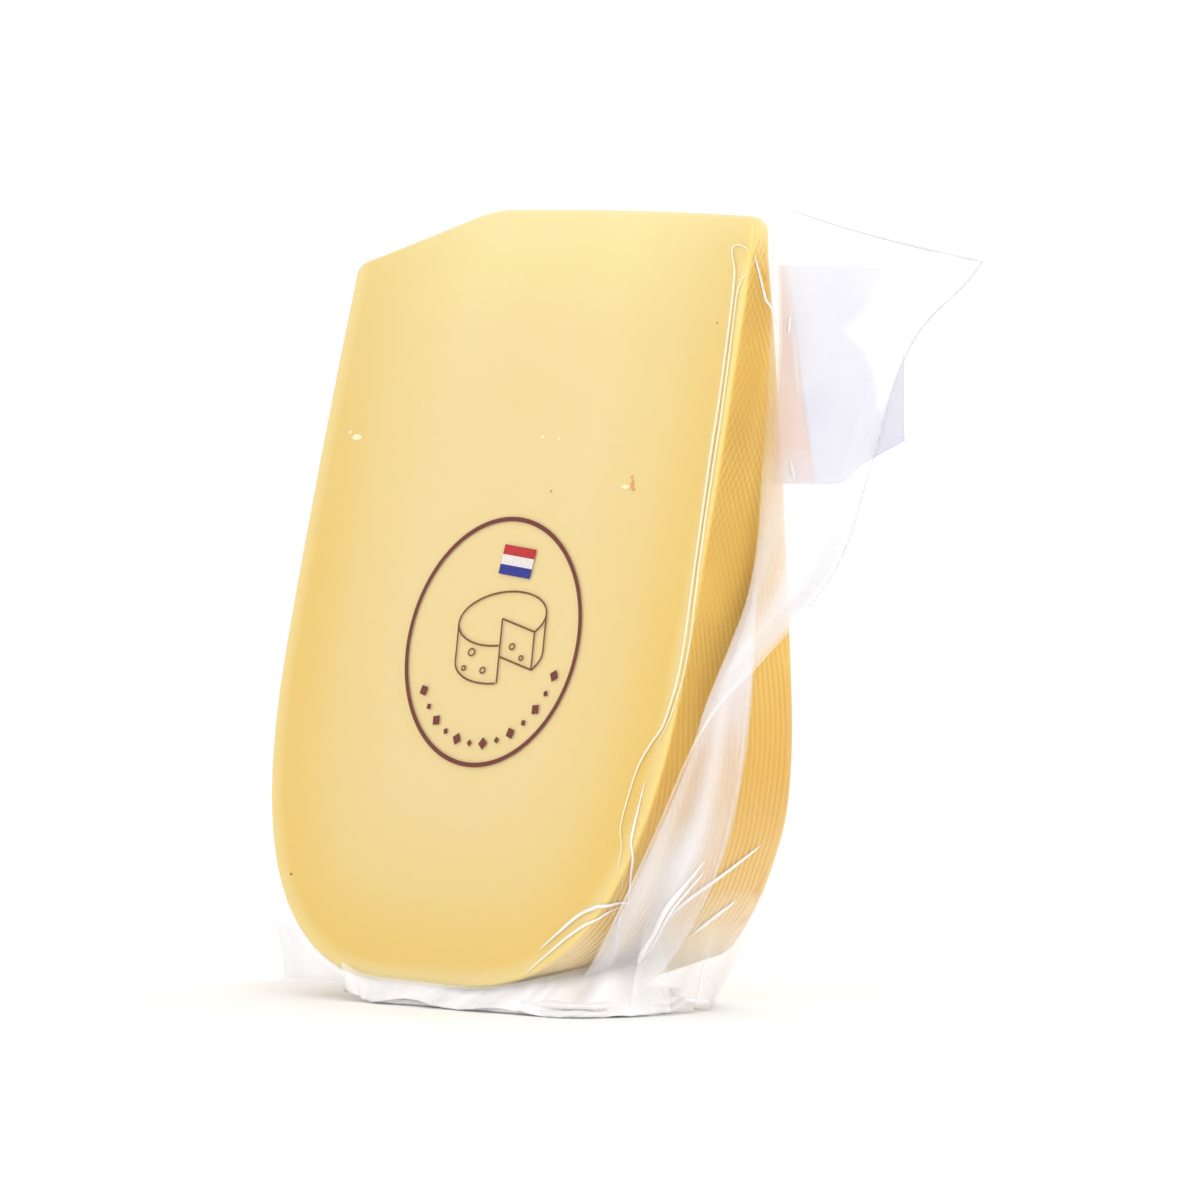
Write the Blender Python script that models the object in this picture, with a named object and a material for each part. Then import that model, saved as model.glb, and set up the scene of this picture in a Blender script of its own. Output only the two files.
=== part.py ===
"""Vacuum-packed wedge of semi-hard cheese, standing on its rind.

The wedge is a sector of a wheel with its tip up. X runs along the wheel's axis, so +X and -X
are the wheel's two flat sides. The front cut face looks towards -Y and leans back. The loose
film of the bag stands out as a fin on each flat side and lies folded under the rind.

Units are metres, +Z is up, and the origin is the middle of the footprint on the table.
"""
from math import cos, pi, radians, sin, tan

import bmesh
import bpy
from mathutils import Vector

# The wheel's section, seen on the cut face: X across, s down the face from the tip.
FACE_LENGTH = 0.1738
HALF_WIDTH = 0.0656
TIP_HALF_WIDTH = 0.0634
WIDEST_AT = 0.089
SHOULDER_POWER = 2.8

# The tip's upper edge: a slight crown, and a slanted cut at its -X end.
TIP_CROWN = 0.0015
CUT_KNEE_X = -0.0215
CUT_SLOPE = 0.30
CORNER_RADIUS = 0.0035
SIDE_LOOK = 0.01

# The two cut faces, as angles from the vertical, positive towards the front.
FRONT_LEAN = radians(13.4)
REAR_LEAN = radians(-3.3)
TIP_THICKNESS = 0.0055
TIP_TO_FLAT = 0.1690
FRONT_ROUND = 0.0011
REAR_ROUND = 0.0035
HEEL_ROUND = 0.0085
HEEL_FROM = 0.125
HEEL_TO = 0.160
HEEL_LIFT = 0.0080
HEEL_LIFT_FROM = 0.35
ROUND_SHARE = 0.42

# The folded tail of the bag, which the rind stands on.
GAP = 0.0003
TAIL_THICKNESS = 0.0036
TAIL_LEFT = -0.050
TAIL_RIGHT = 0.053
TAIL_FRONT = -0.0265
TAIL_REAR = 0.0275
TAIL_FRONT_LEFT = -0.016
TAIL_LEFT_FRONT = -0.006
TAIL_REAR_RIGHT = 0.030
TAIL_RIGHT_REAR = 0.003
TAIL_CORNER = 0.007
TAIL_WAVE = 0.0006
TAIL_WAVES = (9, 16)
TAIL_SECOND_WAVE = 0.7
TAIL_EDGE_ROUND = 0.0012

# The bag's fins.
FILM_THICKNESS = 0.0010
FIN_CLEARANCE = 0.0008
FIN_TOP = -0.003
FIN_TOP_DROOP = 0.0120
FIN_DROOP_REACH = 0.060
LEFT_FIN_TOP = 0.012
LEFT_FIN_WIDTH = 0.0175
LEFT_FIN_CORNER = -0.0775
LEFT_FIN_OVERLAP = 0.008
LEFT_FIN_START = 0.12
LEFT_FIN_GROWTH = 1.35
LEFT_FIN_CORNER_FROM = 0.86
LEFT_FIN_WAVE = 0.0008
LEFT_FIN_WAVES = 1.5

TIP_Y = 0.0150
TIP_Z = TAIL_THICKNESS + GAP + TIP_TO_FLAT
MIDDLE_LEAN = (FRONT_LEAN + REAR_LEAN) / 2
MIDDLE_OFFSET = TIP_THICKNESS / 2

# Sampling.
SHOULDER_STEPS = 16
SIDE_STEPS = 6
TOP_STEPS = 5
CUT_STEPS = 3
CORNER_STEPS = 3
FRONT_ROUND_STEPS = 2
REAR_ROUND_STEPS = 5
DEPTH_STEPS = 5
FIN_ROWS = 30
FIN_COLUMNS = 8
LEFT_FIN_ROWS = 30
LEFT_FIN_COLUMNS = 3
TAIL_STEP = 0.0045
PATH_STEP = 0.001
PATH_TURN = 0.004
PATH_LOOK = 0.02

# Stations of the right-hand fin, from the tip to the tail: distance down the middle of the
# flat side, then the fold and the free edge, each as (out from the side, towards the front).
RIGHT_FIN = (
    (FIN_TOP, (0.0200, -0.0020), (0.0640, -0.0045)),
    (0.020, (0.0140, -0.0010), (0.0460, -0.0015)),
    (0.053, (0.0075, 0.0005), (0.0370, 0.0000)),
    (0.077, (0.0060, 0.0032), (0.0330, 0.0056)),
    (0.095, (0.0055, 0.0085), (0.0260, 0.0160)),
    (0.109, (0.0050, 0.0095), (0.0150, 0.0200)),
    (0.127, (0.0035, 0.0072), (0.0080, 0.0195)),
    (0.151, (0.0028, 0.0070), (0.0046, 0.0205)),
    (0.170, (0.0024, 0.0050), (0.0030, 0.0150)),
    (0.186, (0.0022, 0.0030), (0.0024, 0.0095)),
)
FIN_ROOT_BACK = -0.0025
FIN_END_FROM = 0.150
FIN_END_DROP = 0.0012
FOLD_AT = 0.36


def clear_scene():
    for item in list(bpy.data.objects):
        bpy.data.objects.remove(item, do_unlink=True)


def principled(name, colour, roughness, alpha=1.0):
    """One plain Principled material; the colour is linear RGB."""
    material = bpy.data.materials.new(name)
    material.use_nodes = True
    shader = material.node_tree.nodes["Principled BSDF"]
    shader.inputs["Base Color"].default_value = (*colour, 1.0)
    shader.inputs["Roughness"].default_value = roughness
    shader.inputs["Metallic"].default_value = 0.0
    shader.inputs["Alpha"].default_value = alpha
    return material


def link_object(name, bm, material):
    """Turn a finished bmesh into a named object with one material and smooth faces."""
    bmesh.ops.recalc_face_normals(bm, faces=bm.faces)
    mesh = bpy.data.meshes.new(name)
    bm.to_mesh(mesh)
    bm.free()
    mesh.materials.append(material)
    mesh.shade_smooth()
    mesh.set_sharp_from_angle(angle=radians(30))
    item = bpy.data.objects.new(name, mesh)
    bpy.context.collection.objects.link(item)
    return item


def half_width(s):
    """Half the wheel's thickness at distance s from the tip."""
    if s <= WIDEST_AT:
        return HALF_WIDTH - (HALF_WIDTH - TIP_HALF_WIDTH) * ((WIDEST_AT - s) / WIDEST_AT) ** 2
    drop = min(1.0, (s - WIDEST_AT) / (FACE_LENGTH - WIDEST_AT))
    return HALF_WIDTH * (1 - drop ** SHOULDER_POWER) ** (1 / SHOULDER_POWER)


def shoulder_point(angle):
    """Point of the rounded rind; angle 0 is the widest place, a quarter turn is the bottom."""
    power = 2 / SHOULDER_POWER
    x = HALF_WIDTH * max(0.0, cos(angle)) ** power
    s = WIDEST_AT + (FACE_LENGTH - WIDEST_AT) * sin(angle) ** power
    return Vector((x, s))


def corner_arc(before, corner, after, radius):
    """Round a corner between two straight runs, as CORNER_STEPS + 1 points."""
    to_before = (before - corner).normalized()
    to_after = (after - corner).normalized()
    half_angle = to_before.angle(to_after) / 2
    reach = radius / tan(half_angle)
    centre = corner + (to_before + to_after).normalized() * (radius / sin(half_angle))
    start = corner + to_before * reach
    end = corner + to_after * reach
    first = start - centre
    turn = first.angle_signed(end - centre)
    points = []
    for step in range(CORNER_STEPS + 1):
        angle = -turn * step / CORNER_STEPS
        spun = Vector((first.x * cos(angle) - first.y * sin(angle),
                       first.x * sin(angle) + first.y * cos(angle)))
        points.append(centre + spun)
    return points


def tip_edge(x):
    """Height of the tip's upper edge as a distance s, with its crown and slanted cut."""
    crown = -TIP_CROWN * (1 - (x / TIP_HALF_WIDTH) ** 2)
    knee = -TIP_CROWN * (1 - (CUT_KNEE_X / TIP_HALF_WIDTH) ** 2)
    slanted = knee + (CUT_KNEE_X - x) * CUT_SLOPE
    return max(crown, slanted) if x < CUT_KNEE_X else crown


def face_outline():
    """Outline of the cut face as (X, s), from the bottom round by +X, the tip and -X."""
    points = []
    for step in range(SHOULDER_STEPS):
        points.append(shoulder_point(pi / 2 * (1 - step / SHOULDER_STEPS)))
    for step in range(SIDE_STEPS):
        s = WIDEST_AT * (1 - step / SIDE_STEPS)
        points.append(Vector((half_width(s), s)))
    right = Vector((TIP_HALF_WIDTH, 0.0))
    below = Vector((half_width(SIDE_LOOK), SIDE_LOOK))
    inward = Vector((0.0, tip_edge(0.0)))
    points.extend(corner_arc(below, right, inward, CORNER_RADIUS))
    span = right.x - 2 * CORNER_RADIUS - CUT_KNEE_X
    for step in range(1, TOP_STEPS + 1):
        x = right.x - 2 * CORNER_RADIUS - span * step / TOP_STEPS
        points.append(Vector((x, tip_edge(x))))
    cut_end = tip_edge(-TIP_HALF_WIDTH)
    for step in range(1, CUT_STEPS):
        x = CUT_KNEE_X - (TIP_HALF_WIDTH + CUT_KNEE_X) * step / CUT_STEPS
        points.append(Vector((x, tip_edge(x))))
    left = Vector((-half_width(cut_end), cut_end))
    down = Vector((-half_width(cut_end + SIDE_LOOK), cut_end + SIDE_LOOK))
    points.extend(corner_arc(points[-1], left, down, CORNER_RADIUS))
    for step in range(1, SIDE_STEPS + 1):
        s = cut_end + CORNER_RADIUS + (WIDEST_AT - cut_end - CORNER_RADIUS) * step / SIDE_STEPS
        points.append(Vector((-half_width(s), s)))
    for step in range(1, SHOULDER_STEPS):
        point = shoulder_point(pi / 2 * step / SHOULDER_STEPS)
        points.append(Vector((-point.x, point.y)))
    return points


def outline_normals(points):
    """Inward unit normals of a closed outline."""
    area = sum(one.cross(two) for one, two in zip(points, points[1:] + points[:1]))
    side = 1 if area > 0 else -1
    normals = []
    for index, point in enumerate(points):
        ahead = (points[(index + 1) % len(points)] - point).normalized()
        behind = (point - points[index - 1]).normalized()
        tangent = (ahead + behind).normalized()
        normals.append(Vector((-tangent.y, tangent.x)) * side)
    return normals


def place(x, s, share):
    """Point at X and distance s on the plane that lies at a share of the wedge's angle."""
    lean = FRONT_LEAN + (REAR_LEAN - FRONT_LEAN) * share
    lift = HEEL_LIFT * smooth_step((share - HEEL_LIFT_FROM) / (1 - HEEL_LIFT_FROM))
    s = min(s, (TIP_TO_FLAT - lift) / cos(lean))
    y = TIP_Y + TIP_THICKNESS * share - s * sin(lean)
    return Vector((x, y, TIP_Z - s * cos(lean)))


def depth_stations(s, thickness):
    """Pairs of inset and depth from the front face to the rear one, with rounded edges."""
    front = min(FRONT_ROUND, ROUND_SHARE * thickness)
    heel = smooth_step((s - HEEL_FROM) / (HEEL_TO - HEEL_FROM))
    rear = min(REAR_ROUND + (HEEL_ROUND - REAR_ROUND) * heel, ROUND_SHARE * thickness)
    stations = []
    for step in range(FRONT_ROUND_STEPS + 1):
        angle = pi / 2 * step / FRONT_ROUND_STEPS
        stations.append((front * (1 - sin(angle)), front * (1 - cos(angle))))
    for step in range(1, DEPTH_STEPS):
        depth = front + (thickness - front - rear) * step / DEPTH_STEPS
        stations.append((0.0, depth))
    for step in range(REAR_ROUND_STEPS + 1):
        angle = pi / 2 * (1 - step / REAR_ROUND_STEPS)
        stations.append((rear * (1 - sin(angle)), thickness - rear * (1 - cos(angle))))
    return stations


def cheese_wedge(material):
    """The wedge: rings of the face's outline from the front cut face to the rear one."""
    outline = face_outline()
    normals = outline_normals(outline)
    spread = FRONT_LEAN - REAR_LEAN
    columns = []
    for point, normal in zip(outline, normals):
        thickness = TIP_THICKNESS + max(point.y, 0.0) * spread
        column = []
        for inset, depth in depth_stations(point.y, thickness):
            moved = point + normal * inset
            column.append(place(moved.x, moved.y, depth / thickness))
        columns.append(column)
    bm = bmesh.new()
    grid = [[bm.verts.new(spot) for spot in column] for column in columns]
    count = len(grid)
    for index in range(count):
        one, two = grid[index], grid[(index + 1) % count]
        for row in range(len(one) - 1):
            bm.faces.new((one[row], two[row], two[row + 1], one[row + 1]))
    bm.faces.new([column[0] for column in grid])
    bm.faces.new([column[-1] for column in reversed(grid)])
    return link_object("cheese_wedge", bm, material)


def sheet(rows, thickness):
    """Closed thin solid round a grid of points, offset to both sides of it."""
    last_row, last_column = len(rows) - 1, len(rows[0]) - 1
    bm = bmesh.new()
    sides = []
    for sign in (1, -1):
        grid = []
        for r, row in enumerate(rows):
            line = []
            for c, spot in enumerate(row):
                down = rows[min(r + 1, last_row)][c] - rows[max(r - 1, 0)][c]
                across = row[min(c + 1, last_column)] - row[max(c - 1, 0)]
                normal = across.cross(down).normalized()
                line.append(bm.verts.new(spot + normal * sign * thickness / 2))
            grid.append(line)
        sides.append(grid)
    for grid in sides:
        for r in range(last_row):
            for c in range(last_column):
                bm.faces.new((grid[r][c], grid[r][c + 1], grid[r + 1][c + 1], grid[r + 1][c]))
    rim = [(0, c) for c in range(last_column)]
    rim += [(r, last_column) for r in range(last_row)]
    rim += [(last_row, c) for c in range(last_column, 0, -1)]
    rim += [(r, 0) for r in range(last_row, 0, -1)]
    top, bottom = sides
    for (r1, c1), (r2, c2) in zip(rim, rim[1:] + rim[:1]):
        bm.faces.new((top[r1][c1], top[r2][c2], bottom[r2][c2], bottom[r1][c1]))
    bmesh.ops.triangulate(bm, faces=bm.faces)
    return bm


def side_path(distance):
    """Point and outward normal, as (X, s) pairs, at a distance down the middle of +X's side."""
    angle = 0.0
    if distance <= WIDEST_AT:
        here = Vector((half_width(max(distance, 0.0)), distance))
        ahead = Vector((half_width(max(distance, 0.0) + PATH_STEP), distance + PATH_STEP))
    else:
        here = shoulder_point(0.0)
        left = distance - WIDEST_AT
        while left > 0 and angle < pi / 2 - PATH_LOOK:
            angle += PATH_TURN
            following = shoulder_point(angle)
            left -= (following - here).length
            here = following
        ahead = shoulder_point(angle + PATH_LOOK)
    tangent = (ahead - here).normalized()
    return here, Vector((tangent.y, -tangent.x))


def middle_spot(x, s, forward):
    """Point on the wedge's middle plane, moved towards the front by forward."""
    y = TIP_Y + MIDDLE_OFFSET - s * sin(MIDDLE_LEAN) - forward * cos(MIDDLE_LEAN)
    z = TIP_Z - s * cos(MIDDLE_LEAN) + forward * sin(MIDDLE_LEAN)
    return Vector((x, y, z))


def smooth_step(value):
    value = min(1.0, max(0.0, value))
    return value * value * (3 - 2 * value)


def fin_station(distance):
    """Fold and free edge of the right-hand fin at a distance down the side, smoothed."""
    last = len(RIGHT_FIN) - 1
    index = 0
    while index < last - 1 and distance > RIGHT_FIN[index + 1][0]:
        index += 1
    span = RIGHT_FIN[index + 1][0] - RIGHT_FIN[index][0]
    share = (distance - RIGHT_FIN[index][0]) / span
    result = []
    for column in (1, 2):
        slopes = []
        for station in (index, index + 1):
            before = RIGHT_FIN[max(station - 1, 0)]
            after = RIGHT_FIN[min(station + 1, last)]
            rise = Vector(after[column]) - Vector(before[column])
            slopes.append(rise * span / (after[0] - before[0]))
        here, there = Vector(RIGHT_FIN[index][column]), Vector(RIGHT_FIN[index + 1][column])
        result.append(
            here * (1 + 2 * share) * (1 - share) ** 2
            + slopes[0] * share * (1 - share) ** 2
            + there * share ** 2 * (3 - 2 * share)
            + slopes[1] * share ** 2 * (share - 1)
        )
    return result


def right_fin():
    """Fin on the +X side: it stands out at the top and folds forward over the side below."""
    length = RIGHT_FIN[-1][0] - FIN_TOP
    inside_tail = TIP_TO_FLAT / cos(MIDDLE_LEAN) + TAIL_THICKNESS / 2
    rows = []
    for r in range(FIN_ROWS + 1):
        distance = FIN_TOP + length * r / FIN_ROWS
        fold, edge = fin_station(distance)
        point, outward = side_path(distance)
        ending = smooth_step((distance - FIN_END_FROM) / (length - FIN_END_FROM))
        root = Vector((FILM_THICKNESS / 2 + FIN_CLEARANCE + FIN_END_DROP * ending, FIN_ROOT_BACK))
        fade = 1 - smooth_step((distance - FIN_TOP) / FIN_DROOP_REACH)
        row = []
        for c in range(FIN_COLUMNS + 1):
            across = c / FIN_COLUMNS
            at_root = (across - FOLD_AT) * (across - 1) / FOLD_AT
            at_fold = across * (across - 1) / (FOLD_AT * (FOLD_AT - 1))
            at_edge = across * (across - FOLD_AT) / (1 - FOLD_AT)
            out, forward = root * at_root + fold * at_fold + edge * at_edge
            droop = FIN_TOP_DROOP * fade * across
            flat = point + outward * out
            row.append(middle_spot(flat.x, min(flat.y + droop, inside_tail), forward))
        rows.append(row)
    return sheet(rows, FILM_THICKNESS)


def left_fin():
    """Narrow, gently waved fin on the -X side, ending in a corner at the table."""
    bottom = (TIP_Z - FILM_THICKNESS) / cos(MIDDLE_LEAN)
    rows = []
    for r in range(LEFT_FIN_ROWS + 1):
        share = r / LEFT_FIN_ROWS
        s = LEFT_FIN_TOP + (bottom - LEFT_FIN_TOP) * share
        inside = max(half_width(s), -TAIL_LEFT - LEFT_FIN_OVERLAP) + FIN_CLEARANCE
        width = LEFT_FIN_WIDTH * smooth_step(LEFT_FIN_START + share * LEFT_FIN_GROWTH)
        outside = HALF_WIDTH + width
        corner = smooth_step((share - LEFT_FIN_CORNER_FROM) / (1 - LEFT_FIN_CORNER_FROM))
        outside += (-LEFT_FIN_CORNER - outside) * corner
        wave = LEFT_FIN_WAVE * sin(2 * pi * LEFT_FIN_WAVES * share)
        row = []
        for c in range(LEFT_FIN_COLUMNS + 1):
            across = c / LEFT_FIN_COLUMNS
            x = inside + (outside - inside) * across
            row.append(middle_spot(-x, s, wave * across))
        rows.append(row)
    return sheet(rows, FILM_THICKNESS)


def tail_outline():
    """Footprint of the tail as (X, Y): a rectangle without its front left corner, waved."""
    corners = [
        Vector((TAIL_FRONT_LEFT, TAIL_FRONT)),
        Vector((TAIL_RIGHT, TAIL_FRONT)),
        Vector((TAIL_RIGHT, TAIL_RIGHT_REAR)),
        Vector((TAIL_REAR_RIGHT, TAIL_REAR)),
        Vector((TAIL_LEFT, TAIL_REAR)),
        Vector((TAIL_LEFT, TAIL_LEFT_FRONT)),
    ]
    rounded = []
    for index, corner in enumerate(corners):
        after = corners[(index + 1) % len(corners)]
        rounded.extend(corner_arc(corners[index - 1], corner, after, TAIL_CORNER))
    points = []
    for index, start in enumerate(rounded):
        end = rounded[(index + 1) % len(rounded)]
        steps = max(1, round((end - start).length / TAIL_STEP))
        points.extend(start.lerp(end, step / steps) for step in range(steps))
    normals = outline_normals(points)
    waved = []
    for index, (point, normal) in enumerate(zip(points, normals)):
        turn = 2 * pi * index / len(points)
        swing = sin(TAIL_WAVES[0] * turn) + TAIL_SECOND_WAVE * sin(TAIL_WAVES[1] * turn + 1)
        waved.append(point + normal * TAIL_WAVE * swing)
    return waved


def tail():
    """Folded tail under the rind: a low slab with a wavy edge, flat on the table."""
    outline = tail_outline()
    normals = outline_normals(outline)
    levels = (
        (TAIL_EDGE_ROUND, 0.0),
        (0.0, TAIL_EDGE_ROUND),
        (0.0, TAIL_THICKNESS - TAIL_EDGE_ROUND),
        (TAIL_EDGE_ROUND, TAIL_THICKNESS),
    )
    bm = bmesh.new()
    rings = []
    for inset, z in levels:
        ring = []
        for point, normal in zip(outline, normals):
            moved = point + normal * inset
            ring.append(bm.verts.new((moved.x, moved.y, z)))
        rings.append(ring)
    count = len(outline)
    for lower, upper in zip(rings, rings[1:]):
        for step in range(count):
            after = (step + 1) % count
            bm.faces.new((lower[step], lower[after], upper[after], upper[step]))
    bm.faces.new(list(reversed(rings[0])))
    bm.faces.new(rings[-1])
    return bm


def vacuum_bag(material):
    """The bag's loose film, as one body: both fins joined to the folded tail."""
    base = link_object("vacuum_bag", tail(), material)
    for name, bm in (("right_fin", right_fin()), ("left_fin", left_fin())):
        fin = link_object(name, bm, material)
        join = base.modifiers.new(name, "BOOLEAN")
        join.operation = "UNION"
        join.solver = "EXACT"
        join.object = fin
        fin.hide_render = True
        fin.display_type = "WIRE"
    return base


def main():
    clear_scene()
    cheese = principled("cheese", (0.86, 0.62, 0.24), 0.38)
    film = principled("film", (0.94, 0.94, 0.95), 0.10, alpha=0.35)
    cheese_wedge(cheese)
    vacuum_bag(film)


main()
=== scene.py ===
"""Looks of the vacuum-packed cheese wedge: ribbed cheese, clinging film, loose film and print.

Shapes are worked out in millimetres in the row frame and turned into metres when a mesh is made.
"""
from math import atan2, cos, pi, radians, sin, tan

import bmesh
import bpy
import numpy as np
from mathutils import Matrix, Vector, noise
from mathutils.bvhtree import BVHTree


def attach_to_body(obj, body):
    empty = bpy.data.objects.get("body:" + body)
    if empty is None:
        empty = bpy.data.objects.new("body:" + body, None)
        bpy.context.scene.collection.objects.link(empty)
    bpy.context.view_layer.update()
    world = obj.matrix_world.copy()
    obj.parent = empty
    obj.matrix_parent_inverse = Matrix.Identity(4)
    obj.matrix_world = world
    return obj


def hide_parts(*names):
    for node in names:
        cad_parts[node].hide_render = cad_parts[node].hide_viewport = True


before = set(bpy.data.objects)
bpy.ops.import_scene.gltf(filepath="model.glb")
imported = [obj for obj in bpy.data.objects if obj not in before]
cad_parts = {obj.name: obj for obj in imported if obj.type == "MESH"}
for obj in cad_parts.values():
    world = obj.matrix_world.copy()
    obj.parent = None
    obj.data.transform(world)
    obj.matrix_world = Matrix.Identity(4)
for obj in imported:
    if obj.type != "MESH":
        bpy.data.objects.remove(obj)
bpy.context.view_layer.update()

MM = 0.001

# The wheel's section and the wedge, as in the CAD model.
FACE_LENGTH = 173.8
HALF_WIDTH = 65.6
TIP_HALF_WIDTH = 63.4
WIDEST_AT = 89.0
SHOULDER_POWER = 2.8
TIP_CROWN = 1.5
CUT_KNEE_X = -21.5
CUT_SLOPE = 0.30
TIP_CORNER = 3.5
FRONT_LEAN = radians(13.4)
REAR_LEAN = radians(-3.3)
SPREAD = FRONT_LEAN - REAR_LEAN
TIP_THICKNESS = 5.5
TIP_TO_FLAT = 169.0
FLAT_SOFTNESS = 1.2
FRONT_ROUND = 1.1
REAR_ROUND = 3.5
HEEL_ROUND = 8.5
ROUND_SHARE = 0.42
HEEL_LIFT = 8.0
TIP_Y = 15.0
TAIL_TOP = 3.9
TIP_Z = TAIL_TOP + TIP_TO_FLAT
MIDDLE_LEAN = (FRONT_LEAN + REAR_LEAN) / 2
MIDDLE = (0, 12.0, 90.0)

# Height in metres over which the cheese's colours run from its sole to its tip.
WEDGE_HEIGHT = 0.173

# The rind's ribs, and how strong the painted shade in their grooves is.
RIB_PITCH = 1.5
RIB_DEPTH = 0.22
RIB_SHADE = 0.85
EDGE_REACH = 40.0

# How far the paste lies under the CAD's surface, and the clinging film over it.
PASTE_SINK = 0.12
FILM_GAP = 0.22

# The camera's direction, and what it aims at.
AZIMUTH = radians(47.4)
ELEVATION = radians(2.2)
AIM = (8.8, 19.8, 88.2)
DISTANCE = 2400.0
VIEW_WIDTH = 264.9
SENSOR_WIDTH = 36.0

# The floor's reach from the middle, and how many layers of film light may pass.
FLOOR_REACH = 2400.0
FILM_LAYERS = 32

# How much brighter the paste shows than its base colour, for red, green and blue.
LIGHT_GAIN = (1.18, 1.18, 1.34)

# The film: gloss, thickness of a sheet, and the hatched seal's band beside a free edge.
FILM_IOR = 2.0
SHEET = 0.12
SEAL_FROM = 1.5
SEAL_TO = 6.5
HATCH_PITCH = 1.05

# Each kind of film: opacity facing and grazing, colour, roughness, wrinkles, seal's hatch, and
# whether the attribute "milk" adds to its opacity.
FILMS = {
    "tight": (0.02, 0.25, (255, 253, 252), 0.16, 0, 0, False),
    "loose": (0.015, 0.13, (250, 249, 253), 0.12, 0.06, 0.16, True),
    # Painted reflection: the doubled film's lilac grey stands for darker surroundings reflected in
    # it.
    "doubled_painted_reflection": (0.04, 0.12, (190, 186, 212), 0.2, 0.1, 0, True),
    # Painted highlight: fold and welt films are white and nearly opaque so the folds show as bright
    # lines; the welt's cream is the cheese's tint in that highlight.
    "fold": (0.60, 0.85, (255, 253, 252), 0.2, 0.02, 0, False),
    "welt": (0.58, 0.85, (255, 246, 212), 0.2, 0.02, 0, False),
    # Painted reflection: this film's peach colour stands for the cheese reflected in the film
    # beside it.
    "warm_painted_reflection": (0.04, 0.10, (246, 206, 176), 0.2, 0.1, 0, True),
    "skirt": (0.12, 0.35, (255, 252, 252), 0.2, 0.1, 0, True),
    "draped": (0.02, 0.14, (255, 253, 252), 0.12, 0.12, 0, True),
    "crumpled": (0.62, 0.90, (255, 252, 252), 0.3, 0.2, 0, False),
    # Painted highlight: the halo film shows the fin's turn and its lower free edge as pale lines.
    "halo": (0.16, 0.34, (255, 253, 252), 0.2, 0.1, 0, False),
    # Painted reflection: the hem's blue grey stands for darker surroundings seen in the film's cut
    # edge.
    "hem": (0.24, 0.45, (200, 202, 212), 0.2, 0.1, 0, False),
}


def linear(red, green, blue):
    """Linear RGBA from an sRGB colour given in 0 to 255."""
    values = []
    for value in (red, green, blue):
        value /= 255
        values.append(value / 12.92 if value <= 0.04045 else ((value + 0.055) / 1.055) ** 2.4)
    return (*values, 1.0)


def measured(red, green, blue):
    """Base colour of the paste that shows as an sRGB colour under the studio light."""
    return tuple(value / gain for value, gain in zip(linear(red, green, blue), LIGHT_GAIN)) + (1.0,)


def smooth(value):
    value = np.clip(value, 0.0, 1.0)
    return value * value * (3 - 2 * value)


def soft_min(one, two, width):
    """The smaller of two values, rounded where they meet."""
    return 0.5 * (one + two - np.sqrt((one - two) ** 2 + width ** 2))


def unit(vectors, least=0.0):
    """Vectors of length 1; least keeps one without a length finite."""
    return vectors / (np.linalg.norm(vectors, axis=-1)[..., None] + least)


def run_along(points):
    """Distance of each point from the first, along the path."""
    return np.concatenate([[0], np.cumsum(np.linalg.norm(np.diff(points, axis=0), axis=1))])


def read_off(points, run, at):
    """Points of a flat path at some distances along it."""
    return np.stack([np.interp(at, run, points[:, k]) for k in (0, 1)], axis=1)


def evenly(points, count):
    """Evenly spaced points along a flat path that ends where it starts."""
    run = run_along(points)
    return read_off(points, run, np.linspace(0, run[-1], count, endpoint=False))


def half_width(s):
    s = np.asarray(s, dtype=float)
    upper = HALF_WIDTH - (HALF_WIDTH - TIP_HALF_WIDTH) * ((WIDEST_AT - s) / WIDEST_AT) ** 2
    drop = np.clip((s - WIDEST_AT) / (FACE_LENGTH - WIDEST_AT), 0, 1)
    lower = HALF_WIDTH * (1 - drop ** SHOULDER_POWER) ** (1 / SHOULDER_POWER)
    return np.where(s <= WIDEST_AT, upper, lower)


def shoulder(cosine, sine):
    """(X, s) on the curve from the section's widest point to the rind's middle, at an angle."""
    power = 2 / SHOULDER_POWER
    return HALF_WIDTH * cosine ** power, WIDEST_AT + (FACE_LENGTH - WIDEST_AT) * sine ** power


def tip_edge(x):
    crown = -TIP_CROWN * (1 - (x / TIP_HALF_WIDTH) ** 2)
    knee = -TIP_CROWN * (1 - (CUT_KNEE_X / TIP_HALF_WIDTH) ** 2)
    slanted = knee + (CUT_KNEE_X - x) * CUT_SLOPE
    return max(crown, slanted) if x < CUT_KNEE_X else crown


def arc(before, corner, after, radius, steps=8):
    """Points that round a corner between two straight runs."""
    a = np.array(before) - corner
    b = np.array(after) - corner
    a, b = a / np.linalg.norm(a), b / np.linalg.norm(b)
    half = np.arccos(np.clip(a @ b, -1, 1)) / 2
    between = (a + b) / np.linalg.norm(a + b)
    centre = corner + between * radius / sin(half)
    start, end = corner + a * radius / tan(half), corner + b * radius / tan(half)
    first, last = atan2(*(start - centre)[::-1]), atan2(*(end - centre)[::-1])
    turn = (last - first + pi) % (2 * pi) - pi
    angles = [first + turn * k / steps for k in range(steps + 1)]
    return [centre + radius * np.array([cos(angle), sin(angle)]) for angle in angles]


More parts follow.
